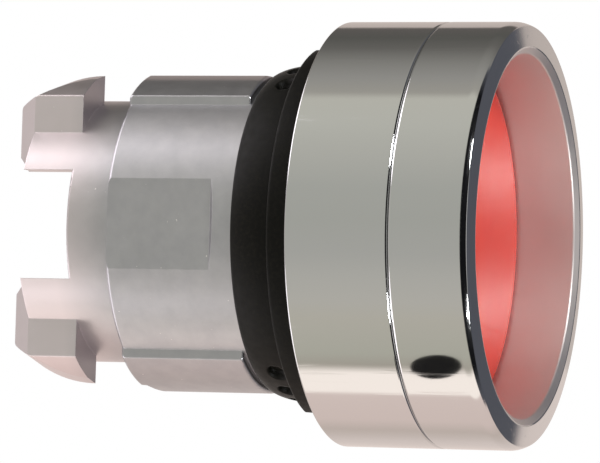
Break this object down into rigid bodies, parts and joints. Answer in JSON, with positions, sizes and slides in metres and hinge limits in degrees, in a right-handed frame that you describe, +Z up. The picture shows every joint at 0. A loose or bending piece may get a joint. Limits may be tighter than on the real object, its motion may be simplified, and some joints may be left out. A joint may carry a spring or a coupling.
{
  "type": "push button head",
  "caption": "Round panel push-button head: chrome bezel with a high guard ring, recessed red cap that springs back, rubber gasket, die-cast barrel with ribs and two rear bayonet lugs.",
  "frame": {"origin": "centre of the panel's front face, where the gasket's lip rests, on the button's axis", "axes": "+Y along the axis into the panel, towards the lugs; the cap faces -Y; +Z up through one of the two ribs"},
  "size_m": [0.029, 0.035, 0.029],
  "materials": {
    "cast_zinc": "satin die-cast zinc with a faint casting grain",
    "chrome_plate": "mirror chrome plate with fine wiping scratches, satin inside the guard",
    "black_rubber": "matte black moulded rubber",
    "red_plastic": "glossy moulded plastic",
    "grey_plastic": "moulded plastic",
    "white_acetal": "smooth acetal",
    "spring_steel": "bright spring steel"
  },
  "bodies": {
    "housing": {"barrel": "cast_zinc", "bezel_ring": "chrome_plate", "guard_ring": "chrome_plate", "head_oring": "black_rubber", "guard_oring": "black_rubber", "panel_gasket": "black_rubber", "guide_bush": "white_acetal", "stem_seal": "black_rubber", "seal_retainer": "spring_steel", "snap_ring": "spring_steel", "spring_washer": "spring_steel", "return_spring": "spring_steel"},
    "plunger": {"push_cap": "red_plastic", "cap_carrier": "grey_plastic", "carrier_clip": "spring_steel", "plunger_stem": "grey_plastic", "plunger_foot": "grey_plastic", "screw_washer": "spring_steel", "stem_screw": "spring_steel"}
  },
  "joints": [
    {"name": "push", "type": "slide", "parent": "housing", "child": "plunger", "axis": [0, 1, 0], "range_m": [0, 0.0043], "stiffness_N_per_m": 600, "springref_m": -0.004, "deforming": ["return_spring"]}
  ]
}
